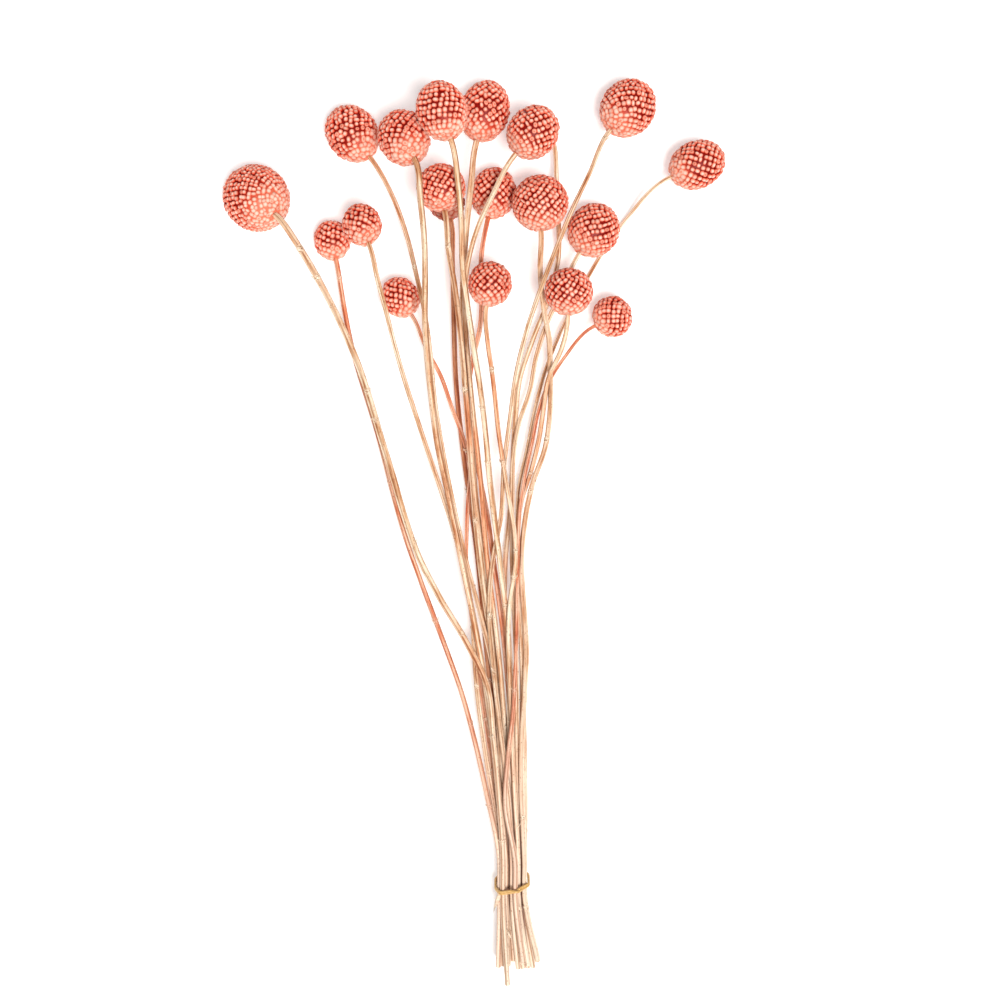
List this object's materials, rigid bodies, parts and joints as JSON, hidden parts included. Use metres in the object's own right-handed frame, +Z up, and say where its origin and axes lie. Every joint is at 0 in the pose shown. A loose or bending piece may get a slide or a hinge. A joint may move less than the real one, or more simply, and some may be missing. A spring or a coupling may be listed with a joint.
{
  "type": "tied bunch of dried billy buttons",
  "caption": "Dried coral billy buttons, round heads of bead-like florets on long bare stems, held in a bunch by a rubber band and lying down.",
  "frame": {"origin": "on the surface that the bunch lies on, under the middle of its box", "axes": "+Y along the stems towards the heads, +Z up from the surface, +X across the bunch"},
  "size_m": [0.2738, 0.4926, 0.0676],
  "materials": {
    "coral_florets": "matte",
    "tan_stem": "matte",
    "salmon_stem": "matte",
    "brown_stem": "matte",
    "rubber": "satin"
  },
  "bodies": {
    "root": {"head_01": "coral_florets", "head_02": "coral_florets", "head_03": "coral_florets", "head_04": "coral_florets", "head_05": "coral_florets", "head_06": "coral_florets", "head_07": "coral_florets", "head_08": "coral_florets", "head_09": "coral_florets", "head_10": "coral_florets", "head_11": "coral_florets", "head_12": "coral_florets", "head_13": "coral_florets", "head_14": "coral_florets", "head_15": "coral_florets", "head_16": "coral_florets", "head_17": "coral_florets", "head_18": "coral_florets", "head_19": "coral_florets", "head_20": "coral_florets", "stem_01": "tan_stem", "stem_02": "salmon_stem", "stem_03": "tan_stem", "stem_04": "tan_stem", "stem_05": "tan_stem", "stem_06": "tan_stem", "stem_07": "tan_stem", "stem_08": "tan_stem", "stem_09": "tan_stem", "stem_10": "tan_stem", "stem_11": "tan_stem", "stem_12": "brown_stem", "stem_13": "salmon_stem", "stem_14": "tan_stem", "stem_15": "tan_stem", "stem_16": "salmon_stem", "stem_17": "tan_stem", "stem_18": "tan_stem", "stem_19": "salmon_stem", "stem_20": "tan_stem", "rubber_band": "rubber"}
  },
  "joints": []
}
